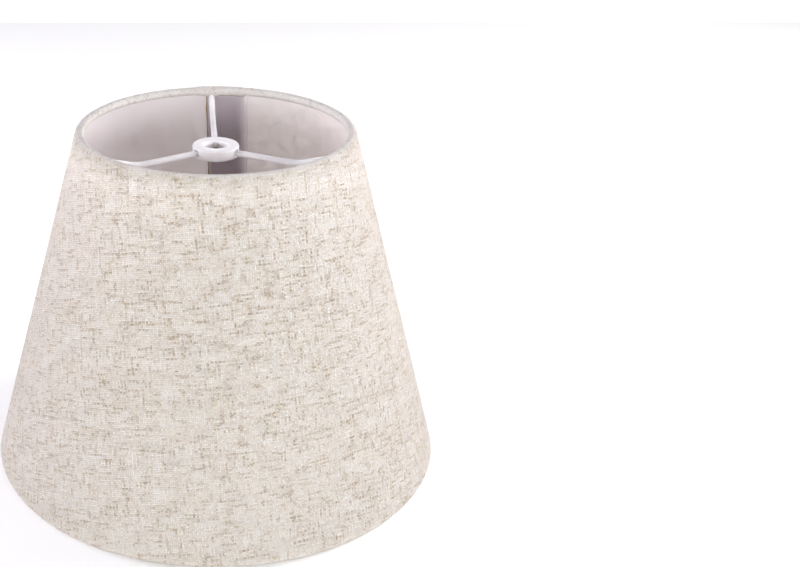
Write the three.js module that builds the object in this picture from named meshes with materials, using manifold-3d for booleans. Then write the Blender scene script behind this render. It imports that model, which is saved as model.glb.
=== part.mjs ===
// A small empire lamp shade: linen laminated to a styrene liner, rolled over two wire rings and
// carried by a spider of three wires riveted into a washer hub.
// Millimetres, +Z up, origin on the shade's axis in the plane that its bottom rim stands on.
// Azimuth 0 is along +X and 90 along +Y, the side with the seam.
import * as THREE from "three";
import { mergeVertices } from "three/addons/utils/BufferGeometryUtils.js";
import Module from "manifold-3d";

const wasm = await Module();
wasm.setup();

// Shade, measured outside its rolled rims.
const TOP_DIAMETER = 150;
const BOTTOM_DIAMETER = 254;
const HEIGHT = 193;

// Stock that the shade is made of.
const RING_WIRE = 3.2;
const ARM_WIRE = 3.3;
const CLOTH = 0.5;
const LINER = 0.35;
const TAPE = 0.25;

// Seam: the panel's outer end laps over its inner end by this width.
const SEAM_AZIMUTH = 86;
const LAP_WIDTH = 20.5;
const LAP_STEP = 1.2; // width of the step by which the inner end passes under the outer one
const TAPE_BEYOND_EDGE = 0.7; // tape that shows past the inner end's cut edge
const TAPE_SHORT_OF_EDGE = 2; // tape stops this far inside the outer end's cut edge
const LAP_TRIM = 4; // the inner end is trimmed this far from each ring's centre

// Rolled hems: cloth turned round each ring, measured as angles swept from the wall.
const TUCK_ANGLE = THREE.MathUtils.degToRad(300);
const EASE_ANGLE = THREE.MathUtils.degToRad(60); // over which the cloth closes from wall to wire

// Spider.
const ARM_AZIMUTHS = { arm_rear: 92, arm_left: 212, arm_right: 332 };
const HUB_RECESS = 9.7; // the hub's top below the top rim
const HUB_DIAMETER = 25;
const HUB_BORE = 12.7;
const HUB_THICKNESS = 6;
const HUB_EDGE = 1; // rounding of the hub's four edges
const RISING_RUN = 23.9; // level distance from an arm's bend to the ring's centre line
const BEND_LENGTH = 6; // wire taken up by the bend on each side of it
const NECK_DIAMETER = 2.7;
const NECK_TAPER = 1.4; // length over which an arm narrows to its neck
const RIVET_DIAMETER = 3.7;
const RIVET_THICKNESS = 0.8;
const COUNTERSINK_DIAMETER = 4.6;
const COUNTERSINK_DEPTH = 1.3;

// Clearances.
const FILM_GAP = 0.12; // adhesive film between cloth and liner
const WIRE_GAP = 0.12; // hem cloth or liner to ring wire
const TAPE_GAP = 0.15; // tape to the layer on each side of it
const STEP_GAP = 0.4; // cut edges to the step beside them
const WELD_GAP = 0.3; // arm to ring
const NOTCH_GAP = 0.4; // arm to the notch in the top hem
const NECK_GAP = 0.3; // neck to the hole in the hub
const RIVET_GAP = 0.2; // rivet head to the hub's bore
const TAPER_GAP = 0.4; // start of the neck's taper to the hub's rim

// Fineness of the faceted surfaces.
const ROUND_STEPS = 60;
const HUB_STEPS = 36;
const CREST_STEPS = 2;
const TUCK_STEPS = 7;
const WIRE_SIDES = 8;
const ARM_SIDES = 10;
const ARM_STEPS = 12;
const EDGE_STEPS = 3;
const HOLE_SIDES = 16;

// Distances outwards from the cone that runs through both rings' centres.
const linerIn = RING_WIRE / 2 + WIRE_GAP;
const linerOut = linerIn + LINER;
const clothIn = linerOut + FILM_GAP;
const clothOut = clothIn + CLOTH;
const hemIn = RING_WIRE / 2 + WIRE_GAP;
const hemOut = hemIn + CLOTH;
const tapeOut = linerIn - TAPE_GAP;
const tapeIn = tapeOut - TAPE;
const lapClothOut = tapeIn - TAPE_GAP;
const lapClothIn = lapClothOut - CLOTH;
const lapLinerOut = lapClothIn - FILM_GAP;
const lapLinerIn = lapLinerOut - LINER;

// Ring centres in the half plane of radius and height, and the wall's directions there.
const topRing = new THREE.Vector2(TOP_DIAMETER / 2 - clothOut, HEIGHT - hemOut);
const bottomRing = new THREE.Vector2(BOTTOM_DIAMETER / 2 - clothOut, hemOut);
const down = bottomRing.clone().sub(topRing).normalize();
const outward = new THREE.Vector2(-down.y, down.x);
const coneAngle = Math.atan2(outward.y, outward.x);

// A closed mesh as a manifold-3d solid.
function solid(geometry) {
  const bare = geometry.clone();
  bare.deleteAttribute("normal");
  bare.deleteAttribute("uv");
  const merged = mergeVertices(bare, 1e-4);
  const vertProperties = new Float32Array(merged.attributes.position.array);
  const triVerts = new Uint32Array(merged.index.array);
  return new wasm.Manifold(new wasm.Mesh({ numProp: 3, vertProperties, triVerts }));
}

// A named mesh of a manifold-3d solid.
function node(name, shape, material) {
  const { vertProperties, triVerts } = shape.getMesh();
  const geometry = new THREE.BufferGeometry()
    .setAttribute("position", new THREE.BufferAttribute(vertProperties, 3))
    .setIndex(new THREE.BufferAttribute(triVerts, 1));
  geometry.computeVertexNormals();
  const mesh = new THREE.Mesh(geometry, material);
  mesh.name = name;
  return mesh;
}

// A closed profile of radius and height turned round the shade's axis.
function turned(profile, steps = ROUND_STEPS) {
  return new THREE.LatheGeometry([...profile, profile[0]], steps).rotateX(Math.PI / 2);
}

// A block over the seam's side of the shade, between two distances across the lap.
// Negative distances are towards the inner end's cut edge.
function seamBlock(from, to) {
  const depth = BOTTOM_DIAMETER;
  return new THREE.BoxGeometry(to - from, depth, 2 * HEIGHT)
    .translate((from + to) / 2, depth / 2 + HUB_DIAMETER, HEIGHT / 2)
    .rotateZ(THREE.MathUtils.degToRad(SEAM_AZIMUTH - 90));
}

// The wall's straight band between two distances from the rings' cone, trimmed at both rings.
function wallBand(from, to, trim = 0) {
  const corner = (ring, along, out) =>
    ring.clone().addScaledVector(down, along).addScaledVector(outward, out);
  return turned([
    corner(bottomRing, -trim, from),
    corner(bottomRing, -trim, to),
    corner(topRing, trim, to),
    corner(topRing, trim, from),
  ]);
}

// Points round a ring from the wall to the tucked end, over the top ring (turn 1) or under the
// bottom one (turn -1). One point stands at the rim's crest.
function hemArc(ring, turn, wall, hem) {
  const crest = Math.PI / 2 - turn * coneAngle;
  const points = [];
  for (let i = 0; i <= CREST_STEPS + TUCK_STEPS; i++) {
    const past = Math.max(0, i - CREST_STEPS) / TUCK_STEPS;
    const swept = THREE.MathUtils.lerp((crest * Math.min(i, CREST_STEPS)) / CREST_STEPS, TUCK_ANGLE, past);
    const reach = THREE.MathUtils.lerp(wall, hem, Math.min(1, swept / EASE_ANGLE));
    const angle = coneAngle + turn * swept;
    points.push(new THREE.Vector2(Math.cos(angle), Math.sin(angle)).multiplyScalar(reach).add(ring));
  }
  return points;
}

// The cloth in section: both hems and the wall between them.
function coverProfile() {
  return [
    ...hemArc(bottomRing, -1, clothOut, hemOut).reverse(),
    ...hemArc(topRing, 1, clothOut, hemOut),
    ...hemArc(topRing, 1, clothIn, hemIn).reverse(),
    ...hemArc(bottomRing, -1, clothIn, hemIn),
  ];
}

// A solid of revolution about +X, from a profile of radius and distance along X.
function turnedAlongX(profile, steps) {
  const points = profile.map(([radius, along]) => new THREE.Vector2(radius, along));
  return new THREE.LatheGeometry(points, steps).rotateZ(-Math.PI / 2);
}

// Centre line of the hub and of the arms' level part, and an arm's other places along +X.
const armHeight = HEIGHT - HUB_RECESS - HUB_THICKNESS / 2;
const bend = new THREE.Vector3(topRing.x - RISING_RUN, 0, armHeight);
const ringCentre = new THREE.Vector3(topRing.x, 0, topRing.y);
const rise = ringCentre.clone().sub(bend).normalize();
const neckEnd = HUB_DIAMETER / 2 + TAPER_GAP;
const wireStart = neckEnd + NECK_TAPER;
const armEnd = ringCentre.clone().addScaledVector(rise, -(RING_WIRE / 2 + WELD_GAP));

// The bent wire of an arm that points along +X.
function armWire() {
  const path = new THREE.CurvePath();
  const start = new THREE.Vector3(wireStart - NECK_TAPER / 2, 0, armHeight);
  const before = bend.clone().setX(bend.x - BEND_LENGTH);
  const after = bend.clone().addScaledVector(rise, BEND_LENGTH);
  path.add(new THREE.LineCurve3(start, before));
  path.add(new THREE.QuadraticBezierCurve3(before, bend, after));
  path.add(new THREE.LineCurve3(after, armEnd));
  const section = new THREE.Shape().absarc(0, 0, ARM_WIRE / 2, 0, 2 * Math.PI);
  const curveSegments = ARM_SIDES / 2;
  return new THREE.ExtrudeGeometry(section, { extrudePath: path, steps: ARM_STEPS, curveSegments });
}

// Distance from the axis to the back of a rivet head, whose rim nears the round bore first.
const rivetBack = Math.sqrt((HUB_BORE / 2) ** 2 - (RIVET_DIAMETER / 2) ** 2) - RIVET_GAP;

// An arm's rivet head, neck and taper, along +X.
function armNeck() {
  const profile = [
    [0, rivetBack - RIVET_THICKNESS],
    [RIVET_DIAMETER * 0.3, rivetBack - RIVET_THICKNESS],
    [RIVET_DIAMETER / 2, rivetBack - RIVET_THICKNESS / 2],
    [RIVET_DIAMETER / 2, rivetBack],
    [NECK_DIAMETER / 2, rivetBack],
    [NECK_DIAMETER / 2, neckEnd],
    [ARM_WIRE / 2, wireStart],
    [ARM_WIRE / 2, wireStart + NECK_TAPER],
    [0, wireStart + NECK_TAPER],
  ];
  return turnedAlongX(profile, ARM_SIDES).translate(0, 0, armHeight);
}

function arm() {
  return solid(armWire()).add(solid(armNeck()));
}

// Room for an arm's neck in the hub, along +X: a hole with a countersink at the hub's rim.
function hubHole() {
  const hole = NECK_DIAMETER / 2 + NECK_GAP;
  const rim = HUB_DIAMETER / 2;
  const profile = [
    [0, 0],
    [hole, 0],
    [hole, rim - COUNTERSINK_DEPTH],
    [COUNTERSINK_DIAMETER / 2, rim],
    [COUNTERSINK_DIAMETER / 2, 2 * rim],
    [0, 2 * rim],
  ];
  return turnedAlongX(profile, HOLE_SIDES).translate(0, 0, armHeight);
}

// Room for an arm's end in the top hem, along the arm's rise.
function hemNotch() {
  const reach = ringCentre.distanceTo(bend) / 2;
  const from = WELD_GAP + RING_WIRE / 2 - NOTCH_GAP;
  const radius = ARM_WIRE / 2 + NOTCH_GAP;
  const middle = ringCentre.clone().addScaledVector(rise, -(from + reach / 2));
  return new THREE.CylinderGeometry(radius, radius, reach, HOLE_SIDES)
    .rotateZ(-Math.PI / 2)
    .rotateY(-Math.atan2(rise.z, rise.x))
    .translate(middle.x, middle.y, middle.z);
}

// Cuts a copy of a tool at every arm's azimuth out of a solid.
function cutAtArms(shape, tool) {
  return Object.values(ARM_AZIMUTHS).reduce(
    (left, azimuth) => left.subtract(solid(tool.clone().rotateZ(THREE.MathUtils.degToRad(azimuth)))),
    shape,
  );
}

// Across the lap, the outer end's cut edge, then the two steps of the inner end that passes under it.
const innerEdge = -LAP_WIDTH / 2;
const outerEdge = LAP_WIDTH / 2;
const clothStep = outerEdge + STEP_GAP;
const linerStep = clothStep + LAP_STEP + STEP_GAP;

// A layer's lapped part: the band that lies inside the lap, and the step that joins it to the wall.
function lapped(lapIn, lapOut, wallOut, step) {
  const end = step + LAP_STEP;
  const band = solid(wallBand(lapIn, lapOut, LAP_TRIM)).intersect(solid(seamBlock(innerEdge, end)));
  const joint = solid(wallBand(lapIn, wallOut, LAP_TRIM)).intersect(solid(seamBlock(step, end)));
  return band.add(joint);
}

function linenCover() {
  const cloth = solid(turned(coverProfile())).subtract(solid(seamBlock(outerEdge, clothStep)));
  return cutAtArms(cloth.add(lapped(lapClothIn, lapClothOut, clothOut, clothStep)), hemNotch());
}

function styreneLiner() {
  const sheet = solid(wallBand(linerIn, linerOut)).subtract(solid(seamBlock(outerEdge, linerStep)));
  return sheet.add(lapped(lapLinerIn, lapLinerOut, linerOut, linerStep));
}

function seamTape() {
  const strip = seamBlock(innerEdge - TAPE_BEYOND_EDGE, outerEdge - TAPE_SHORT_OF_EDGE);
  return solid(wallBand(tapeIn, tapeOut, LAP_TRIM)).intersect(solid(strip));
}

function wireRing(ring) {
  const profile = Array.from({ length: WIRE_SIDES }, (_, i) => {
    const angle = (2 * Math.PI * i) / WIRE_SIDES;
    return new THREE.Vector2(Math.cos(angle), Math.sin(angle)).multiplyScalar(RING_WIRE / 2).add(ring);
  });
  return solid(turned(profile));
}

// The washer: a round-edged rectangle turned round the axis, with a hole for each arm.
function hubWasher() {
  const middle = (HUB_BORE + HUB_DIAMETER) / 4;
  const halfWidth = (HUB_DIAMETER - HUB_BORE) / 4 - HUB_EDGE;
  const halfHeight = HUB_THICKNESS / 2 - HUB_EDGE;
  const profile = [];
  for (const [side, level, start] of [[1, -1, -90], [1, 1, 0], [-1, 1, 90], [-1, -1, 180]]) {
    for (let i = 0; i <= EDGE_STEPS; i++) {
      const angle = THREE.MathUtils.degToRad(start + (90 * i) / EDGE_STEPS);
      const corner = new THREE.Vector2(middle + side * halfWidth, armHeight + level * halfHeight);
      profile.push(corner.add(new THREE.Vector2(Math.cos(angle), Math.sin(angle)).multiplyScalar(HUB_EDGE)));
    }
  }
  return cutAtArms(solid(turned(profile, HUB_STEPS)), hubHole());
}

const finish = (color, roughness, metalness = 0) =>
  new THREE.MeshStandardMaterial({ color, roughness, metalness });

const shade = new THREE.Group();
shade.add(
  node("linen_cover", linenCover(), finish(0xd9d1c6, 0.95)),
  node("styrene_liner", styreneLiner(), finish(0xe6e3e0, 0.6)),
  node("seam_tape", seamTape(), finish(0x8a6a45, 0.5)),
  node("top_ring", wireRing(topRing), finish(0xf2f0f2, 0.35)),
  node("bottom_ring", wireRing(bottomRing), finish(0xf2f0f3, 0.35)),
  node("hub_washer", hubWasher(), finish(0xf4f2f4, 0.4)),
);
for (const [name, azimuth] of Object.entries(ARM_AZIMUTHS)) {
  const wire = node(name, arm(), finish(0xf4f2f5, 0.35));
  wire.rotation.z = THREE.MathUtils.degToRad(azimuth);
  shade.add(wire);
}

export default shade;
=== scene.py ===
"""A small empire lamp shade: linen laminated to a styrene liner, rolled over two wire rings and
carried by a spider of three wires riveted into a washer hub. Metres, +Z up."""

import math

import bmesh
import bpy
from mathutils import Matrix, Vector, noise


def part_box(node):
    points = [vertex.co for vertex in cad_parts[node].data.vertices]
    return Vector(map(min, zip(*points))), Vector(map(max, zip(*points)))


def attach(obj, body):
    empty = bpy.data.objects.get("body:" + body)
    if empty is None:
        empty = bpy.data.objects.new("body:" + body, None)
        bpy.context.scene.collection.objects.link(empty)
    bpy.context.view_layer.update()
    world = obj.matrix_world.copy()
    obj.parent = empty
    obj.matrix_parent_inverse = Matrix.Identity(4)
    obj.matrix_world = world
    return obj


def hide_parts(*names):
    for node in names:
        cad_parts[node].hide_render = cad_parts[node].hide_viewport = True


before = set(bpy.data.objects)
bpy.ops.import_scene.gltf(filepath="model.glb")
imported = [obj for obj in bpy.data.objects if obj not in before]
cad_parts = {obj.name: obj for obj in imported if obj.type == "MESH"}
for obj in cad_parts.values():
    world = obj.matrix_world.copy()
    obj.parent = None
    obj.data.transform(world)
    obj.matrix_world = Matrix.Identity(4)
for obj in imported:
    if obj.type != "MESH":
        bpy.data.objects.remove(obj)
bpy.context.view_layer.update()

bl_info = {
    "name": "Empire Lamp Shade",
    "version": (1, 0, 0),
    "blender": (4, 5, 0),
    "location": "3D View > Sidebar > Lamp Shade",
    "description": "Builds a linen lamp shade on wire rings, with its spider, hub and studio",
    "category": "Add Mesh",
}

MM = 0.001


# ---- places that the frame gives -------------------------------------------------------------


def wire_ring(node):
    """A ring's centre line in radius and height, and its wire's radius."""
    low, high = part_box(node)
    wire = (high[2] - low[2]) / 2
    return Vector((high[0] - wire, low[2] + wire)), wire


TOP_RING, RING_WIRE = wire_ring("top_ring")
BOTTOM_RING, _ = wire_ring("bottom_ring")
UP = (TOP_RING - BOTTOM_RING).normalized()
OUT = Vector((UP.y, -UP.x))
WALL = (TOP_RING - BOTTOM_RING).length
SLOPE = math.atan2(OUT.y, OUT.x)
APEX = BOTTOM_RING.x / OUT.y  # slant distance from the cone's apex to the bottom ring
MEAN_RADIUS = (TOP_RING.x + BOTTOM_RING.x) / 2
GIRTH = 2 * math.pi * MEAN_RADIUS

HUB_LOW, HUB_HIGH = (Vector(corner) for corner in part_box("hub_washer"))
ARM_HEIGHT = (HUB_LOW.z + HUB_HIGH.z) / 2
HUB_RADIUS = HUB_HIGH.x

# Azimuths in degrees, from +X towards +Y.
SEAM = 86
GRAIN = 290  # where the cloth's warp runs straight up the shade
ARMS = {"arm_rear": 92, "arm_left": 212, "arm_right": 332}


# ---- sizes and colours that a user may change ------------------------------------------------


def length(name, description, default, **more):
    """A length property in metres."""
    return bpy.props.FloatProperty(
        name=name, description=description, default=default, min=0, unit="LENGTH", precision=5, **more
    )


def colour(name, description, default):
    """A colour property."""
    return bpy.props.FloatVectorProperty(
        name=name, description=description, default=default, size=3, min=0, max=1, subtype="COLOR"
    )


def share(name, description, default):
    """A property from 0 to 1."""
    return bpy.props.FloatProperty(
        name=name, description=description, default=default, min=0, max=1, subtype="FACTOR"
    )


class LinenSettings(bpy.types.PropertyGroup):
    """The linen's sizes and colours"""

    thickness: length("Thickness", "Thickness of the linen", 0.5 * MM)
    lap: length("Lap", "Width by which the panel's ends lap at the seam", 20.5 * MM)
    pitch: length("Yarn pitch", "Distance between neighbouring yarns", 1.0 * MM)
    uneven: length("Unevenness", "How far the wall wanders from a true cone", 0.12 * MM)
    flax: colour("Flax", "The cloth's ordinary yarn", (0.77, 0.755, 0.76))
    # Also used for the painted light on the bead over the top ring.
    bleach_and_bead_light: colour("Bleached", "The cloth's palest yarn", (0.94, 0.935, 0.94))
    straw: colour("Straw", "Thick unbleached slubs", (0.42, 0.315, 0.20))
    # Painted shade: the gaps between the yarns are painted this darker colour.
    hollow_shade: colour("Hollows", "The gaps between the yarns", (0.38, 0.36, 0.34))
    bark: colour("Bark", "Dark specks of stalk", (0.12, 0.09, 0.07))
    passed: colour("Passed light", "Colour of the light that the linen passes", (0.84, 0.83, 0.825))
    glow: share("Glow", "Share of the light that the linen passes", 0.65)


class LinerSettings(bpy.types.PropertyGroup):
    """The styrene liner's and the seam tape's sizes and colours"""

    thickness: length("Thickness", "Thickness of the styrene", 0.35 * MM)
    tape: length("Tape thickness", "Thickness of the seam tape", 0.25 * MM)
    white: colour("White", "The styrene's colour", (0.92, 0.905, 0.925))
    # Painted shade: the colour painted over the lap, where the doubled layers pass less light.
    painted_lap_shade: colour("Glue", "The styrene's colour where the lap is glued", (0.77, 0.69, 0.76))
    brown: colour("Tape brown", "The seam tape's colour", (0.26, 0.15, 0.07))
    glow: share("Glow", "Share of the light that the styrene passes", 0.75)


class WireSettings(bpy.types.PropertyGroup):
    """The spider's, the hub's and the rings' sizes and colours"""

    wire: length("Arm wire", "Diameter of the arms' wire", 3.3 * MM)
    bore: length("Hub bore", "Diameter of the hub's bore", 12.7 * MM)
    edge: length("Hub edge", "Rounding of the hub's edges", 1 * MM)
    white: colour("Coating", "The baked coating's colour", (0.86, 0.845, 0.865))
    steel: colour("Steel", "The rivets' bare steel", (0.34, 0.33, 0.32))


# ---- small helpers ---------------------------------------------------------------------------


def blend(a, b, share_of_b):
    """The value between a and b."""
    return a + (b - a) * share_of_b


def ease(value, start, end):
    """0 before start, 1 after end, and a smooth step between them."""
    t = min(1, max(0, (value - start) / (end - start)))
    return t * t * (3 - 2 * t)


def stations(breaks, pitch):
    """Places from the first break to the last, on every break and no further apart than the pitch."""
    found = []
    for start, end in zip(breaks, breaks[1:]):
        count = max(1, math.ceil((end - start) / pitch - 1e-6))
        found += [blend(start, end, i / count) for i in range(count)]
    return found + [breaks[-1]]


def wander(around, along, size, seed):
    """Smooth unevenness from -1 to 1 that closes on itself round the shade."""
    angle = around / MEAN_RADIUS
    reach = MEAN_RADIUS / size
    place = Vector((math.cos(angle) * reach, math.sin(angle) * reach, along / size + seed))
    return noise.noise(place)


def add_piece(name, bm, material, nodes):
    """A finished bmesh as a piece that rides on the frame and stands for its CAD nodes."""
    mesh = bpy.data.meshes.new(name)
    bm.to_mesh(mesh)
    bm.free()
    mesh.shade_smooth()
    mesh.materials.append(material)
    piece = bpy.data.objects.new(name, mesh)
    bpy.context.collection.objects.link(piece)
    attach(piece, "root")
    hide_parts(*nodes)
    return piece


def settle(piece, sharp):
    """Makes a piece's modifiers part of its mesh and marks the edges sharper than an angle."""
    seen = piece.evaluated_get(bpy.context.evaluated_depsgraph_get())
    mesh = bpy.data.meshes.new_from_object(seen)
    old = piece.data
    piece.modifiers.clear()
    piece.data = mesh
    mesh.name = piece.name
    bpy.data.meshes.remove(old)
    mesh.set_sharp_from_angle(angle=math.radians(sharp))


# ---- materials -------------------------------------------------------------------------------


class Signal:
    """A node's output. Sums between signals and numbers add Math nodes."""

    def __init__(self, shop, socket):
        self.shop = shop
        self.socket = socket

    def math(self, operation, *values):
        return self.shop.node("ShaderNodeMath", {"operation": operation}, dict(enumerate(values)))

    def __add__(self, other):
        return self.math("ADD", self, other)

    def __sub__(self, other):
        return self.math("SUBTRACT", self, other)

    def __rsub__(self, other):
        return self.math("SUBTRACT", other, self)

    def __mul__(self, other):
        return self.math("MULTIPLY", self, other)

    def __truediv__(self, other):
        return self.math("DIVIDE", self, other)

    def __pow__(self, other):
        return self.math("POWER", self, other)

    def __mod__(self, other):
        return self.math("FLOORED_MODULO", self, other)

    def __abs__(self):
        return self.math("ABSOLUTE", self)

    def __floor__(self):
        return self.math("FLOOR", self)

    __radd__ = __add__
    __rmul__ = __mul__

    def sine(self):
        return self.math("SINE", self)

    def larger(self, other):
        return self.math("MAXIMUM", self, other)

    def step(self, start, end):
        """0 before start, 1 after end, and smooth between them."""
        return self.shop.node(
            "ShaderNodeMapRange",
            {"interpolation_type": "SMOOTHSTEP", "clamp": True},
            {"Value": self, "From Min": start, "From Max": end},
        )


class Shop:
    """A material in the making."""

    def __init__(self, name, tree=None):
        if tree is None:
            self.material = bpy.data.materials.new(name)
            self.material.use_nodes = True
            tree = self.material.node_tree
        self.tree = tree
        self.tree.nodes.clear()

    def node(self, kind, settings=None, inputs=None, output=0):
        """Adds a node: its settings first, then its sockets' values or links."""
        made = self.tree.nodes.new(kind)
        for key, value in (settings or {}).items():
            setattr(made, key, value)
        for key, value in (inputs or {}).items():
            if isinstance(value, Signal):
                self.tree.links.new(value.socket, made.inputs[key])
            else:
                made.inputs[key].default_value = value
        return Signal(self, made.outputs[output])

    def mix(self, factor, a, b, way="MIX"):
        """Colour a with colour b over it."""
        settings = {"data_type": "RGBA", "blend_type": way}
        full = [v if isinstance(v, Signal) else (*v, 1) for v in (a, b)]
        return self.node("ShaderNodeMix", settings, {0: factor, 6: full[0], 7: full[1]}, 2)

    def point(self, x, y, z=0.0):
        return self.node("ShaderNodeCombineXYZ", None, {0: x, 1: y, 2: z})

    def parts(self, vector):
        """A vector's x and y."""
        first = self.node("ShaderNodeSeparateXYZ", None, {0: vector})
        return first, Signal(self, first.socket.node.outputs[1])

    def noise(self, vector, scale, detail=0.0, roughness=0.5):
        settings = {"noise_dimensions": "3D"}
        inputs = {"Vector": vector, "Scale": scale, "Detail": detail, "Roughness": roughness}
        return self.node("ShaderNodeTexNoise", settings, inputs)

    def cut_place(self):
        """Place on the flat cut of a rolled sheet, in millimetres."""
        flat = self.node("ShaderNodeUVMap", {"uv_map": "Cut"})
        return self.node("ShaderNodeVectorMath", {"operation": "SCALE"}, {0: flat, "Scale": 1 / MM})

    def object_place(self):
        """Place on a piece, in millimetres."""
        place = self.node("ShaderNodeTexCoord", None, None, "Object")
        return self.node("ShaderNodeVectorMath", {"operation": "SCALE"}, {0: place, "Scale": 1 / MM})

    def bump(self, height, depth, strength=1.0):
        """A normal from a height of 0 to 1 and its depth in metres."""
        return self.node(
            "ShaderNodeBump", None, {"Strength": strength, "Distance": depth, "Height": height}
        )

    def random(self, x, y):
        """A random number from 0 to 1 for each whole x and y."""
        return self.node("ShaderNodeTexWhiteNoise", {"noise_dimensions": "2D"}, {0: self.point(x, y)})

    def finish(self, shader):
        """Joins the last shader to the output, and gives the material."""
        out = self.tree.nodes.new("ShaderNodeOutputMaterial")
        self.tree.links.new(shader.socket, out.inputs[0])
        return self.material

    def translucent(self, tint, normal):
        """Light passed on from the other side, in one colour."""
        return self.node("ShaderNodeBsdfTranslucent", None, {"Color": (*tint, 1.0), "Normal": normal})

    def over(self, factor, a, b):
        """Shader a with shader b over it."""
        return self.node("ShaderNodeMixShader", None, {0: factor, 1: a, 2: b})


YELLOWED = (1.0, 0.965, 0.88)  # the casts that single crossings of yarns take
COOLED = (0.95, 0.985, 1.0)
WANDER = 1.6  # how far yarns wander off straight, in millimetres
UNEVEN = 1.3  # how far their edges shift as they thicken and thin, in millimetres


def linen_material(look):
    """Plain-woven linen: yarns of uneven tone, tan slubs, dark specks and a woven relief."""
    shop = Shop("Linen")
    cut = shop.cut_place()
    straight_x, straight_y = shop.parts(cut)
    flat = shop.point(straight_x, straight_y)
    # The yarns wander slowly, and each is a little thicker or thinner than the next.
    x = straight_x + (shop.noise(flat, 0.11, 1.0) - 0.5) * WANDER
    y = straight_y + (shop.noise(shop.point(straight_y, straight_x, 5.0), 0.09, 1.0) - 0.5) * WANDER
    x = x + (shop.noise(shop.point(straight_x, straight_y * 0.15, 70.0), 0.5, 1.0) - 0.5) * UNEVEN
    y = y + (shop.noise(shop.point(straight_x * 0.15, straight_y, 75.0), 0.5, 1.0) - 0.5) * UNEVEN
    pitch = look.pitch / MM
    warp = x / pitch
    weft = y / pitch
    warp_yarn = math.floor(warp)
    weft_yarn = math.floor(weft)
    over = (warp_yarn + weft_yarn) % 2.0
    across_warp = abs((warp * math.pi).sine())
    across_weft = abs((weft * math.pi).sine())
    warp_top = across_warp * (across_weft * 0.4 + 0.6)
    weft_top = across_weft * (across_warp * 0.4 + 0.6)
    relief = warp_top + (weft_top - warp_top) * over

    # Each yarn has a tone of its own, which drifts along its length, and each crossing another.
    warp_tone = shop.noise(shop.point(warp_yarn * 7.13, y * 0.07), 1.0, 1.0)
    weft_tone = shop.noise(shop.point(x * 0.055, weft_yarn * 5.37, 9.0), 1.0, 1.0)
    tone = (warp_tone + (weft_tone - warp_tone) * over).step(0.28, 0.72)
    knot = shop.random(warp_yarn, weft_yarn)

    # Slubs: long thick stretches of unbleached fibre, broken where the other yarns cross them.
    weft_slub = shop.noise(shop.point(x * 0.10, weft_yarn * 3.71, 20.0), 1.0, 1.0).step(0.52, 0.68)
    warp_slub = shop.noise(shop.point(warp_yarn * 4.19, y * 0.12, 40.0), 1.0, 1.0).step(0.53, 0.69)
    slub = (weft_slub * (over * 0.5 + 0.5)).larger(warp_slub * (1.0 - over * 0.5))
    shred = shop.noise(shop.point(x, y, 3.0), 0.9, 2.0).step(0.32, 0.58)

    # Patches of warmer and cooler yarn and of looser weave, and single dark specks.
    patch = shop.noise(shop.point(x, y, 60.0), 0.055, 2.0)
    loose = shop.noise(shop.point(x, y, 65.0), 0.14, 2.0).step(0.30, 0.70)
    speck = shop.noise(shop.point(x * 0.7, y * 1.6, 80.0), 0.55, 1.0).step(0.72, 0.80)

    warm = tuple(c * f for c, f in zip(look.flax, (1.005, 0.995, 0.975)))
    cool = tuple(c * f for c, f in zip(look.flax, (0.995, 1.0, 1.015)))
    tint = shop.mix(patch.step(0.35, 0.65), warm, cool)
    light = shop.mix(0.90, tint, look.bleach_and_bead_light)
    dark = shop.mix(0.45, tint, look.straw)
    pale = tone * 0.30 + knot * 0.55 + loose * 0.15
    raw = slub * (shred * 0.55 + 0.15)
    # Painted shade: the hollows between the yarns are painted darker, where the crossing yarns shade
    # them.
    hollow_shade = (1.0 - relief) ** 2.0 * (0.15 + knot * 0.75)
    tint = shop.mix(pale, dark, light)
    tint = shop.mix(raw, tint, look.straw)
    tint = shop.mix(speck * 0.7, tint, look.bark)
    tint = shop.mix(hollow_shade, tint, look.hollow_shade)
    hue = shop.mix(shop.random(weft_yarn, warp_yarn + 31.0), YELLOWED, COOLED)
    tint = shop.mix(1.0, tint, hue, "MULTIPLY")

    # Painted light: the cloth rolled over the top ring is painted paler, standing in for the light
    # that falls on the bead.
    slant = shop.node("ShaderNodeVectorMath", {"operation": "LENGTH"}, {0: cut}, 1)
    rolled = 1.0 - slant.step((APEX - WALL) / MM - 2.0, (APEX - WALL) / MM)
    tint = shop.mix(rolled * 0.85, tint, look.bleach_and_bead_light)

    height = relief * (0.75 + slub * 0.5) + tone * 0.25
    normal = shop.bump(height, 0.17 * MM, 1.0)
    body = shop.node(
        "ShaderNodeBsdfPrincipled",
        None,
        {
            "Base Color": tint,
            "Roughness": 0.92,
            "Normal": normal,
            "Specular IOR Level": 0.25,
            "Sheen Weight": 0.15,
            "Sheen Roughness": 0.5,
            "Sheen Tint": (1.0, 0.99, 0.98, 1.0),
        },
    )
    # Slubs, hollows and specks let less light through.
    dim = ((1.0 - pale) * 0.4).larger(raw).larger(speck * 0.8).larger(hollow_shade * 0.5)
    bright = shop.translucent(look.passed, normal)
    dusky = shop.translucent(look.straw, normal)
    return shop.finish(shop.over(look.glow, body, shop.over(dim, bright, dusky)))


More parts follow.
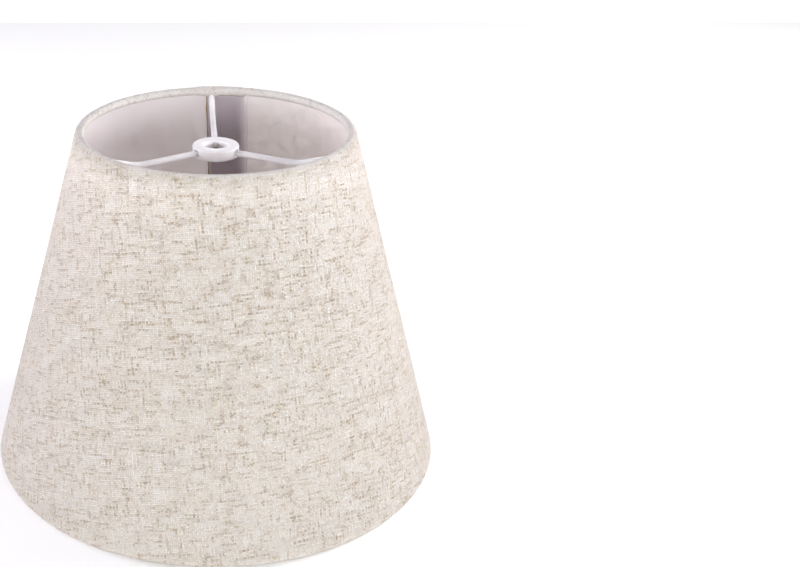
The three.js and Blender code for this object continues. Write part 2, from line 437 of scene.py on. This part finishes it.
def styrene_material(look, lap):
    """Matte white styrene sheet, faintly mottled where the adhesive holds the cloth, with painted
    shade over the lap.
    """
    shop = Shop("Styrene")
    place = shop.cut_place()
    cloud = shop.noise(place, 0.05, 3.0).step(0.3, 0.7)
    grain = shop.noise(place, 1.6, 2.0)
    dull = tuple(c * 0.95 for c in look.white)
    tint = shop.mix(cloud * 0.7 + grain * 0.3, dull, look.white)
    # Painted shade: the lap is painted darker and violet, standing in for the doubled layers that pass
    # less light; a thin strip beside the inner end's cut edge is left lighter.
    x, y = shop.parts(shop.object_place())
    seam = math.radians(SEAM)
    ahead = x * math.cos(seam) + y * math.sin(seam)
    aside = x * math.sin(seam) - y * math.cos(seam)
    half = lap / MM / 2
    painted_lap_shade = aside.step(-half, 0.3 - half) * (1.0 - aside.step(half, half + 3.5)) * ahead.step(0.0, 10.0)
    edge = aside.step(0.6 - half, 1.0 - half) * (1.0 - aside.step(1.6 - half, 2.2 - half))
    tint = shop.mix(painted_lap_shade * (1.0 - edge * 0.8), tint, look.painted_lap_shade)
    normal = shop.bump(grain + cloud, 0.03 * MM, 0.4)
    body = shop.node(
        "ShaderNodeBsdfPrincipled",
        None,
        {"Base Color": tint, "Roughness": 0.45 + cloud * 0.12, "Normal": normal, "IOR": 1.5},
    )
    return shop.finish(shop.over(look.glow, body, shop.translucent(look.white, normal)))


def tape_material(look):
    """Brown adhesive tape, streaked along the seam."""
    shop = Shop("Seam Tape")
    x, y = shop.parts(shop.cut_place())
    streak = shop.noise(shop.point(x * 3.0, y * 0.2), 1.0, 2.0)
    blot = shop.noise(shop.point(x, y), 0.6, 2.0).step(0.35, 0.7)
    pale = tuple(min(1, c * 1.7) for c in look.brown)
    tint = shop.mix(streak * 0.6 + blot * 0.4, look.brown, pale)
    body = shop.node(
        "ShaderNodeBsdfPrincipled",
        None,
        {"Base Color": tint, "Roughness": 0.5 + blot * 0.2, "Normal": shop.bump(streak, 0.05 * MM)},
    )
    return shop.finish(body)


def coating_material(name, look, roughness):
    """Baked white coating with a faint orange peel."""
    shop = Shop(name)
    place = shop.object_place()
    peel = shop.noise(place, 1.3, 1.0)
    cloud = shop.noise(place, 0.12, 2.0).step(0.3, 0.7)
    worn = tuple(c * 0.94 for c in look.white)
    tint = shop.mix(cloud, worn, look.white)
    body = shop.node(
        "ShaderNodeBsdfPrincipled",
        None,
        {
            "Base Color": tint,
            "Roughness": roughness + peel * 0.12,
            "Normal": shop.bump(peel, 0.04 * MM, 0.5),
            "IOR": 1.5,
        },
    )
    return shop.finish(body)


def steel_material(look):
    """Bare peened steel with fine scratches."""
    shop = Shop("Bare Steel")
    place = shop.object_place()
    dent = shop.noise(place, 1.8, 3.0)
    bright = tuple(min(1, c * 1.8) for c in look.steel)
    tint = shop.mix(dent.step(0.35, 0.65), look.steel, bright)
    body = shop.node(
        "ShaderNodeBsdfPrincipled",
        None,
        {
            "Base Color": tint,
            "Metallic": 0.9,
            "Roughness": 0.3 + dent * 0.25,
            "Normal": shop.bump(dent, 0.08 * MM),
        },
    )
    return shop.finish(body)


# ---- rolled sheets ---------------------------------------------------------------------------

FILM = 0.12 * MM  # adhesive film between neighbouring layers
TAPE_GAP = 0.15 * MM  # between the tape and its neighbours
TUCK = math.radians(300)  # how far the hem is rolled round its ring
FALL = math.radians(40)  # over which the cloth closes from the liner's edge to the wire
FLOOR = -0.3 * MM  # the cloth rests flat on it
LAP_STEP = 1.2 * MM  # over which a lapped end dives under the other
STEP_GAP = 0.4 * MM  # between a cut end and the dive beside it
LAP_TRIM = 4 * MM  # the lap's inner end stops this short of the rings
HEM_EASE = 0.12 * MM  # the rolled cloth is this much looser than its wire
HEM_RIPPLE = 0.1 * MM
DOUBLED = 15.6 * MM  # the hem is doubled this far from the seam's middle
DOUBLED_EDGE = 0.5 * MM
HEM_DOUBLING = 0.3 * MM
WALL_DOUBLING = 0.25 * MM
ARM_BULGE = 0.7 * MM
ARM_BULGE_REACH = 5 * MM
NICK_GAP = 0.25 * MM
NICK_FROM = math.radians(240)  # how far round the ring the nick for each arm begins
TUCK_RIPPLE = 0.035  # unevenness of the tucked end, as a share of its length
PARALLEL = 20 * MM  # this near the seam, cuts run parallel to it
FAN = 70 * MM  # this far from the seam, they all run towards the apex


def azimuth(around, radius):
    """Azimuth at a distance round the shade from the seam, which is measured at the mean radius."""
    lapped = around > GIRTH / 2
    near = around - GIRTH if lapped else around
    fan = near / MEAN_RADIUS
    if abs(near) < FAN:
        fan = blend(math.asin(near / radius), fan, ease(abs(near), PARALLEL, FAN))
    return math.radians(SEAM) + fan + (2 * math.pi if lapped else 0)


def around_at(degrees):
    """Distance round the shade to an azimuth at the top ring."""
    turn = math.radians((degrees - SEAM) % 360)
    if turn * TOP_RING.x < PARALLEL:
        return TOP_RING.x * math.sin(turn)
    return turn * MEAN_RADIUS


def section(along, wall, hem):
    """Radius and height of a sheet's outer face at a distance up the cloth from the bottom ring.
    Past a ring the cloth rolls round it, at the hem's distance from the ring's centre."""
    if 0 <= along <= WALL:
        return BOTTOM_RING + UP * along + OUT * wall
    ring, turn, past = (TOP_RING, 1, along - WALL) if along > WALL else (BOTTOM_RING, -1, -along)
    swept = past / hem_roll()
    reach = blend(wall, hem, ease(swept, 0, FALL))
    angle = SLOPE + turn * swept
    return ring + Vector((math.cos(angle), math.sin(angle))) * reach


def hem_roll():
    """Radius of the cloth's middle where it is rolled round a ring."""
    return RING_WIRE + FILM + bpy.context.scene.shade_linen.thickness / 2


def on_shade(around, place):
    """A place in radius and height, turned to its azimuth."""
    angle = azimuth(around, place.x)
    return Vector((math.cos(angle) * place.x, math.sin(angle) * place.x, place.y))


def cut_at(around, along):
    """Where a point of the rolled sheet lies in its flat cut."""
    radius = BOTTOM_RING.x + (TOP_RING.x - BOTTOM_RING.x) * min(1, max(0, along / WALL))
    fan = (azimuth(around, radius) - math.radians(GRAIN)) * OUT.y
    slant = APEX - along
    return Vector((math.sin(fan) * slant, -math.cos(fan) * slant))


def rolled_sheet(columns, rows, place, is_cut_away=None):
    """A flat grid of columns and rows, cut, then rolled to its place."""
    bm = bmesh.new()
    bmesh.ops.create_grid(bm, x_segments=len(columns) - 1, y_segments=len(rows) - 1, size=1)
    spots = {}
    for vert in bm.verts:
        column = round((vert.co.x + 1) / 2 * (len(columns) - 1))
        row = round((vert.co.y + 1) / 2 * (len(rows) - 1))
        spots[vert] = columns[column], rows[row]
    if is_cut_away:
        gone = []
        for face in bm.faces:
            around = sum(spots[v][0] for v in face.verts) / 4
            along = sum(spots[v][1] for v in face.verts) / 4
            if is_cut_away(around, along):
                gone.append(face)
        bmesh.ops.delete(bm, geom=gone, context="FACES")
    flat = bm.loops.layers.uv.new("Cut")
    for face in bm.faces:
        for loop in face.loops:
            loop[flat].uv = cut_at(*spots[loop.vert])
    for vert in bm.verts:
        vert.co = place(*spots[vert])
    bmesh.ops.recalc_face_normals(bm, faces=bm.faces)
    return bm


def layers():
    """Distances of each layer's outer face from the cone through the rings' centres."""
    linen = bpy.context.scene.shade_linen
    liner = bpy.context.scene.shade_liner
    found = {"liner": RING_WIRE + FILM + liner.thickness}
    found["cloth"] = found["liner"] + FILM + linen.thickness
    found["hem"] = RING_WIRE + FILM + linen.thickness
    found["tape"] = RING_WIRE + FILM - TAPE_GAP
    found["lap_cloth"] = found["tape"] - liner.tape - TAPE_GAP
    found["lap_liner"] = found["lap_cloth"] - linen.thickness - FILM
    return found


class SHADE_OT_linen(bpy.types.Operator):
    """Cuts the linen panel, laps its ends at the seam and rolls it over both rings"""

    bl_idname = "shade.linen"
    bl_label = "Linen Cover"

    def execute(self, context):
        look = context.scene.shade_linen
        level = layers()
        roll = hem_roll()
        half = look.lap / 2
        step = GIRTH - half - STEP_GAP
        tuck = TUCK * roll
        nick = (context.scene.shade_wire.wire / 2 + NICK_GAP) * MEAN_RADIUS / TOP_RING.x
        arms = sorted(around_at(a) for a in ARMS.values())
        marks = [-half, -half + 0.4 * MM, arms[0] - nick, arms[0] + nick]
        marks += [DOUBLED, DOUBLED + DOUBLED_EDGE]
        for arm in arms[1:]:
            marks += [arm - nick, arm + nick]
        marks += [step - LAP_STEP, step, GIRTH - half + 3 * MM, GIRTH + half]
        columns = stations(marks, 1.5 * MM)
        rows = stations([-tuck, 0], 0.6 * MM)[:-1]
        rows += stations([0, LAP_TRIM, 12 * MM], 1.2 * MM)[:-1]
        rows += stations([12 * MM, WALL - 12 * MM], 7 * MM)[:-1]
        rows += stations([WALL - 12 * MM, WALL - LAP_TRIM, WALL], 1.2 * MM)[:-1]
        rows += stations([WALL, WALL + tuck], 0.6 * MM)

        def place(around, along):
            past = max(0, -along, along - WALL)
            under = ease(around, step - LAP_STEP, step)
            wall = blend(level["cloth"], level["lap_cloth"], under)
            wall += look.uneven * wander(around, along, 45 * MM, 3.0) * (1 - under)
            hem = level["hem"] + HEM_EASE + HEM_RIPPLE * wander(around, along, 9 * MM, 11.0)
            # Both ends of the panel are rolled together over the lap, which thickens the hem.
            over = 1 - ease(around, DOUBLED, DOUBLED + DOUBLED_EDGE)
            rim = 1 - ease(min(abs(along), abs(along - WALL)), 0.5 * MM, 5 * MM) if past == 0 else 1
            wall += WALL_DOUBLING * over * rim
            hem += HEM_DOUBLING * over
            # At the top it is drawn over the arms' ends.
            inside = ease(along - WALL, math.radians(100) * roll, math.radians(170) * roll)
            for arm in arms:
                hem += ARM_BULGE * inside * (1 - ease(abs(around - arm), nick, ARM_BULGE_REACH))
            if past:
                past *= 1 + TUCK_RIPPLE * wander(around, 0, 14 * MM, 5.0 + (along > 0))
                along = -past if along < 0 else WALL + past
            spot = on_shade(around, section(along, wall, hem))
            spot.z = max(spot.z, FLOOR)
            return spot

        def is_cut_away(around, along):
            if around > GIRTH - half + 3 * MM and not LAP_TRIM < along < WALL - LAP_TRIM:
                return True
            swept = (along - WALL) / roll
            return swept > NICK_FROM and any(abs(around - arm) < nick for arm in arms)

        bm = rolled_sheet(columns, rows, place, is_cut_away)
        piece = add_piece("linen_cover_cloth", bm, linen_material(look), ["linen_cover"])
        thicken(piece, look.thickness)
        return {"FINISHED"}


def thicken(piece, thickness):
    """Gives a rolled sheet its thickness, inwards from its outer face."""
    shell = piece.modifiers.new("Thickness", "SOLIDIFY")
    shell.thickness = thickness
    shell.offset = -1
    shell.use_even_offset = True
    settle(piece, 50)


class SHADE_OT_liner(bpy.types.Operator):
    """Rolls the styrene liner inside the linen, with the tape that holds its lap"""

    bl_idname = "shade.liner"
    bl_label = "Styrene Liner and Seam Tape"

    def execute(self, context):
        look = context.scene.shade_liner
        linen = context.scene.shade_linen
        level = layers()
        half = linen.lap / 2
        step = GIRTH - half - STEP_GAP - LAP_STEP - STEP_GAP
        marks = [-half, PARALLEL, GIRTH - PARALLEL, step - LAP_STEP, step, GIRTH + half]
        columns = stations(marks, 2 * MM)
        rows = stations([0, LAP_TRIM, WALL - LAP_TRIM, WALL], 6 * MM)

        def place(around, along):
            under = ease(around, step - LAP_STEP, step)
            out = blend(level["liner"], level["lap_liner"], under)
            out += linen.uneven * wander(around, along, 45 * MM, 3.0) * (1 - under)
            return on_shade(around, section(along, out, out))

        def is_cut_away(around, along):
            return around > step - LAP_STEP and not LAP_TRIM < along < WALL - LAP_TRIM

        bm = rolled_sheet(columns, rows, place, is_cut_away)
        sheet = add_piece(
            "styrene_liner_sheet", bm, styrene_material(look, linen.lap), ["styrene_liner"]
        )
        thicken(sheet, look.thickness)

        edge = half + 0.7 * MM
        columns = stations([GIRTH - half + 2 * MM, GIRTH + half, GIRTH + edge], 2 * MM)
        rows = stations([LAP_TRIM, WALL - LAP_TRIM], 2 * MM)

        def place_tape(around, along):
            share_out = ease(around, GIRTH + half, GIRTH + edge)
            around += share_out * 0.3 * MM * wander(0, along, 5 * MM, 7.0)
            return on_shade(around, section(along, level["tape"], level["tape"]))

        bm = rolled_sheet(columns, rows, place_tape)
        tape = add_piece("seam_tape_strip", bm, tape_material(look), ["seam_tape"])
        thicken(tape, look.tape)
        return {"FINISHED"}


# ---- wire and hub ----------------------------------------------------------------------------

ARM_HOLE = 1.65 * MM  # radius
COUNTERSINK = 2.3 * MM  # radius
COUNTERSINK_DEPTH = 1.3 * MM
RIVET = 1.85 * MM  # radius of the peened head
RIVET_THICKNESS = 0.8 * MM
RIVET_GAP = 0.2 * MM  # between the head and the bore's wall
BARE_STEEL = 5.9 * MM  # the coating ends this far from the axis
NECK = 1.35 * MM  # radius
NECK_PAST_HUB = 0.4 * MM
NECK_TAPER = 1.4 * MM
RISING_RUN = 23.9 * MM  # level distance from the bend to the top ring
BEND = 6 * MM  # from a bend's corner to where its curve starts
UNDER_RING = 2.4 * MM  # the arms are welded to the underside of the ring
WELD = 0.3 * MM  # how far their ends go into it
ARM_TIP = 1.4 * MM  # length of the rounded end


def drawn_wire(stops, sides):
    """A round wire through stops of centre, direction in the XZ plane and radius, closed at its
    ends."""
    bm = bmesh.new()

    def frame_at(stop):
        centre, direction, radius = stop
        turn = Vector((0, 0, 1)).rotation_difference(direction).to_matrix().to_4x4()
        return Matrix.Translation(centre) @ turn @ Matrix.Scale(radius, 4)

    bmesh.ops.create_circle(bm, cap_ends=True, radius=1, segments=sides, matrix=frame_at(stops[0]))
    edge = bm.edges[:]
    for before, after in zip(stops, stops[1:]):
        grown = bmesh.ops.extrude_edge_only(bm, edges=edge)["geom"]
        verts = [g for g in grown if isinstance(g, bmesh.types.BMVert)]
        edge = [g for g in grown if isinstance(g, bmesh.types.BMEdge)]
        edge = [e for e in edge if all(v in verts for v in e.verts)]
        move = frame_at(after) @ frame_at(before).inverted()
        bmesh.ops.transform(bm, matrix=move, verts=verts)
    bmesh.ops.edgeloop_fill(bm, edges=edge)
    bmesh.ops.recalc_face_normals(bm, faces=bm.faces)
    return bm


class SHADE_OT_rings(bpy.types.Operator):
    """Bends the two wire rings that the linen is rolled over"""

    bl_idname = "shade.rings"
    bl_label = "Wire Rings"

    def execute(self, context):
        material = coating_material("Ring Coating", context.scene.shade_wire, 0.35)
        for node, centre in (("top_ring", TOP_RING), ("bottom_ring", BOTTOM_RING)):
            bm = bmesh.new()
            upright = Matrix.Rotation(math.pi / 2, 4, "X")
            upright = Matrix.Translation((centre.x, 0, centre.y)) @ upright
            bmesh.ops.create_circle(bm, radius=RING_WIRE, segments=20, matrix=upright)
            bmesh.ops.spin(
                bm,
                geom=bm.verts[:] + bm.edges[:],
                cent=(0, 0, 0),
                axis=(0, 0, 1),
                angle=2 * math.pi,
                steps=180,
                use_merge=True,
            )
            bmesh.ops.remove_doubles(bm, verts=bm.verts, dist=1e-6)
            bmesh.ops.recalc_face_normals(bm, faces=bm.faces)
            add_piece(node + "_wire", bm, material, [node])
        return {"FINISHED"}


class SHADE_OT_hub(bpy.types.Operator):
    """Turns the washer hub, rounds its edges and countersinks a hole for each arm"""

    bl_idname = "shade.hub"
    bl_label = "Washer Hub"

    def execute(self, context):
        look = context.scene.shade_wire
        bm = bmesh.new()
        corners = [
            (look.bore / 2, HUB_LOW.z),
            (HUB_RADIUS, HUB_LOW.z),
            (HUB_RADIUS, HUB_HIGH.z),
            (look.bore / 2, HUB_HIGH.z),
        ]
        verts = [bm.verts.new((x, 0, z)) for x, z in corners]
        for a, b in zip(verts, verts[1:] + verts[:1]):
            bm.edges.new((a, b))
        bmesh.ops.spin(
            bm,
            geom=bm.verts[:] + bm.edges[:],
            cent=(0, 0, 0),
            axis=(0, 0, 1),
            angle=2 * math.pi,
            steps=120,
            use_merge=True,
        )
        bmesh.ops.remove_doubles(bm, verts=bm.verts, dist=1e-6)
        bmesh.ops.recalc_face_normals(bm, faces=bm.faces)
        round_edges = [e for e in bm.edges if abs(e.calc_face_angle(0)) > 1]
        bmesh.ops.bevel(
            bm,
            geom=round_edges,
            offset=look.edge,
            offset_type="OFFSET",
            affect="EDGES",
            segments=5,
            profile=0.5,
            material=-1,
        )
        material = coating_material("Hub Coating", look, 0.38)
        hub = add_piece("hub_washer_turned", bm, material, ["hub_washer"])
        cutter = self.cutter()
        cut = hub.modifiers.new("Arm holes", "BOOLEAN")
        cut.operation = "DIFFERENCE"
        cut.solver = "EXACT"
        cut.object = cutter
        settle(hub, 40)
        mesh = cutter.data
        bpy.data.objects.remove(cutter)
        bpy.data.meshes.remove(mesh)
        return {"FINISHED"}

    def cutter(self):
        """The drill for the arms' holes, which a countersink widens at the hub's rim."""
        bm = bmesh.new()
        for degrees in ARMS.values():
            turn = Matrix.Rotation(math.radians(degrees), 4, "Z")
            lie = Matrix.Translation((0, 0, ARM_HEIGHT)) @ turn
            lie = lie @ Matrix.Rotation(math.pi / 2, 4, "Y")
            stops = [
                (ARM_HOLE, 1 * MM),
                (ARM_HOLE, HUB_RADIUS - COUNTERSINK_DEPTH),
                (COUNTERSINK, HUB_RADIUS),
                (COUNTERSINK, HUB_RADIUS + 4 * MM),
            ]
            first = bmesh.ops.create_circle(bm, cap_ends=True, radius=ARM_HOLE, segments=28)["verts"]
            start = lie @ Matrix.Translation((0, 0, stops[0][1]))
            bmesh.ops.transform(bm, matrix=start, verts=first)
            edge = list({e for v in first for e in v.link_edges})
            for (r0, x0), (r1, x1) in zip(stops, stops[1:]):
                grown = bmesh.ops.extrude_edge_only(bm, edges=edge)["geom"]
                verts = [g for g in grown if isinstance(g, bmesh.types.BMVert)]
                edge = [g for g in grown if isinstance(g, bmesh.types.BMEdge)]
                edge = [e for e in edge if all(v in verts for v in e.verts)]
                swell = Matrix.Diagonal((r1 / r0, r1 / r0, 1, 1))
                move = lie @ Matrix.Translation((0, 0, x1)) @ swell
                move = move @ Matrix.Translation((0, 0, -x0)) @ lie.inverted()
                bmesh.ops.transform(bm, matrix=move, verts=verts)
            bmesh.ops.edgeloop_fill(bm, edges=edge)
        bmesh.ops.recalc_face_normals(bm, faces=bm.faces)
        mesh = bpy.data.meshes.new("drill")
        bm.to_mesh(mesh)
        bm.free()
        drill = bpy.data.objects.new("drill", mesh)
        bpy.context.collection.objects.link(drill)
        return drill


class SHADE_OT_arms(bpy.types.Operator):
    """Bends the three arms, necks them through the hub and peens their ends"""

    bl_idname = "shade.arms"
    bl_label = "Spider Arms"

    def execute(self, context):
        look = context.scene.shade_wire
        coating = coating_material("Arm Coating", look, 0.3)
        steel = steel_material(look)
        for node, degrees in ARMS.items():
            bm = drawn_wire(self.stops(look), 28)
            for face in bm.faces:
                face.material_index = int(face.calc_center_median().x < BARE_STEEL)
            turn = Matrix.Rotation(math.radians(degrees), 4, "Z")
            bmesh.ops.transform(bm, matrix=turn, verts=bm.verts)
            arm = add_piece(node + "_wire", bm, coating, [node])
            arm.data.materials.append(steel)
            arm.data.set_sharp_from_angle(angle=math.radians(50))
        return {"FINISHED"}

    def stops(self, look):
        """The arm along +X: rivet head, neck, taper, level run, bend and rise to the top ring."""
        level = Vector((1, 0, 0))
        wire = look.wire / 2
        bore = look.bore / 2
        back = math.sqrt(bore**2 - RIVET**2) - RIVET_GAP
        stops = []

        def add(x, radius, z=ARM_HEIGHT, direction=level):
            stops.append((Vector((x, 0, z)), direction, radius))

        add(back - RIVET_THICKNESS, RIVET * 0.8)
        for swell, x in ((0.92, 0.77), (0.98, 0.68), (1, 0.52), (1, 0.3), (1, 0.08), (0.94, 0)):
            add(back - x * MM, RIVET * swell)
        add(back, NECK)
        neck_end = HUB_RADIUS + NECK_PAST_HUB
        for x in (back + 1 * MM, (back + neck_end) / 2, neck_end - 0.2 * MM):
            add(x, NECK)
        for i in range(7):
            add(neck_end + NECK_TAPER * i / 6, blend(NECK, wire, ease(i / 6, 0, 1)))
        ring = Vector((TOP_RING.x, 0, TOP_RING.y - UNDER_RING))
        bend = Vector((TOP_RING.x - RISING_RUN, 0, ARM_HEIGHT))
        rise = (ring - bend).normalized()
        for i in range(1, 6):
            add(blend(neck_end + NECK_TAPER, bend.x - BEND, i / 5), wire)
        before = bend - level * BEND
        after = bend + rise * BEND
        for i in range(1, 13):
            t = i / 12
            centre = before * (1 - t) ** 2 + bend * 2 * t * (1 - t) + after * t**2
            along = (bend - before) * (1 - t) + (after - bend) * t
            stops.append((centre, along.normalized(), wire))
        end = ring - rise * (RING_WIRE - WELD)
        for i in range(1, 6):
            stops.append((after.lerp(end - rise * ARM_TIP, i / 5), rise, wire))
        for i, narrow in ((1, 0.98), (2, 0.92), (3, 0.8)):
            stops.append((end - rise * ARM_TIP * (1 - i / 3), rise, wire * narrow))
        return stops


# ---- stage -----------------------------------------------------------------------------------

CAMERA_AT = Vector((0, -0.6521, 0.4120))
LOOKS_AT = Vector((0, 0, 0.0966))
LENS = 57.66
SHIFT = (0.2302, 0.0078)

# Square soft boxes, all facing the shade: place, watts and colour.
BOX_SIZE = 0.7
FLOOR_HALF = 1  # half the floor's side
SOFT_BOXES = (
    ("Right box", (1.0, 0.3, 0.5), 13.0, (1.0, 0.96, 0.98)),
    ("Left box", (-1.0, 0.3, 0.5), 9.5, (0.89, 0.85, 1.0)),
    ("Front right box", (0.45, -1.05, 0.12), 9.3, (0.93, 0.98, 1.0)),
    ("Front left box", (-0.45, -1.05, 0.12), 6.8, (1.0, 0.97, 0.93)),
)
# Brightness of the studio below the horizon, at it, above it and overhead.
BELOW = 1.4
HORIZON = 6.1
ABOVE = 0.08
OVERHEAD = 0.3


class SHADE_OT_stage(bpy.types.Operator):
    """Lays a pale floor, sets soft lights round the shade and places the camera"""

    bl_idname = "shade.stage"
    bl_label = "Stage"

    def execute(self, context):
        scene = context.scene
        scene.view_settings.view_transform = "Standard"
        self.floor()
        self.sky(scene)
        for name, at, power, tint in SOFT_BOXES:
            self.soft_box(name, Vector(at), power, tint)
        camera = bpy.data.cameras.new("Camera")
        camera.lens = LENS
        camera.sensor_width = 36
        camera.shift_x, camera.shift_y = SHIFT
        camera.clip_start = 0.01
        seen = bpy.data.objects.new("Camera", camera)
        context.collection.objects.link(seen)
        seen.location = CAMERA_AT
        seen.rotation_euler = (LOOKS_AT - CAMERA_AT).to_track_quat("-Z", "Y").to_euler()
        scene.camera = seen
        return {"FINISHED"}

    def floor(self):
        """A plain pale square that the shade stands on."""
        bm = bmesh.new()
        bmesh.ops.create_grid(bm, x_segments=8, y_segments=8, size=FLOOR_HALF)
        bmesh.ops.translate(bm, vec=(0, 0, FLOOR), verts=bm.verts)
        mesh = bpy.data.meshes.new("Floor")
        bm.to_mesh(mesh)
        bm.free()
        shop = Shop("Pale Floor")
        cloud = shop.noise(shop.object_place(), 0.004, 2.0)
        tint = shop.mix(cloud, (0.95, 0.95, 0.95), (0.97, 0.97, 0.97))
        body = shop.node("ShaderNodeBsdfPrincipled", None, {"Base Color": tint, "Roughness": 0.9})
        mesh.materials.append(shop.finish(body))
        floor = bpy.data.objects.new("Floor", mesh)
        bpy.context.collection.objects.link(floor)

    def sky(self, scene):
        """Light walls all round, near darkness above them and a dim ceiling."""
        world = bpy.data.worlds.new("Studio")
        world.use_nodes = True
        scene.world = world
        shop = Shop("", world.node_tree)
        place = shop.node("ShaderNodeTexCoord", None, None, "Generated")
        height = shop.node("ShaderNodeSeparateXYZ", None, {0: place}, 2)
        shine = BELOW + height.step(-0.02, 0.01) * (HORIZON - BELOW)
        shine = shine + height.step(0.1, 0.4) * (ABOVE - HORIZON)
        shine = shine + height.step(0.5, 0.8) * (OVERHEAD - ABOVE)
        white = (1.0, 1.0, 1.0, 1.0)
        sky = shop.node("ShaderNodeBackground", None, {"Color": white, "Strength": shine})
        out = world.node_tree.nodes.new("ShaderNodeOutputWorld")
        world.node_tree.links.new(sky.socket, out.inputs[0])

    def soft_box(self, name, at, power, tint):
        """A square light that faces the shade."""
        light = bpy.data.lights.new(name, "AREA")
        light.shape = "SQUARE"
        light.size = BOX_SIZE
        light.energy = power
        light.color = tint
        box = bpy.data.objects.new(name, light)
        bpy.context.collection.objects.link(box)
        box.location = at
        box.rotation_euler = (LOOKS_AT - at).to_track_quat("-Z", "Y").to_euler()


# ---- panel and run ---------------------------------------------------------------------------

STEPS = (SHADE_OT_rings, SHADE_OT_liner, SHADE_OT_linen, SHADE_OT_hub, SHADE_OT_arms, SHADE_OT_stage)


class SHADE_PT_sidebar(bpy.types.Panel):
    """The shade's pieces and their sizes"""

    bl_idname = "SHADE_PT_sidebar"
    bl_label = "Lamp Shade"
    bl_space_type = "VIEW_3D"
    bl_region_type = "UI"
    bl_category = "Lamp Shade"

    def draw(self, context):
        for group in ("shade_linen", "shade_liner", "shade_wire"):
            settings = getattr(context.scene, group)
            box = self.layout.box()
            for key in settings.bl_rna.properties.keys():
                if key not in ("rna_type", "name"):
                    box.prop(settings, key)
        for step in STEPS:
            self.layout.operator(step.bl_idname)


GROUPS = {"shade_linen": LinenSettings, "shade_liner": LinerSettings, "shade_wire": WireSettings}
CLASSES = (*GROUPS.values(), *STEPS, SHADE_PT_sidebar)


def register():
    for cls in CLASSES:
        bpy.utils.register_class(cls)
    for key, group in GROUPS.items():
        setattr(bpy.types.Scene, key, bpy.props.PointerProperty(type=group))


def unregister():
    for key in GROUPS:
        delattr(bpy.types.Scene, key)
    for cls in reversed(CLASSES):
        bpy.utils.unregister_class(cls)


def main():
    register()
    bpy.ops.shade.rings()
    bpy.ops.shade.liner()
    bpy.ops.shade.linen()
    bpy.ops.shade.hub()
    bpy.ops.shade.arms()
    bpy.ops.shade.stage()


if __name__ == "__main__":
    main()
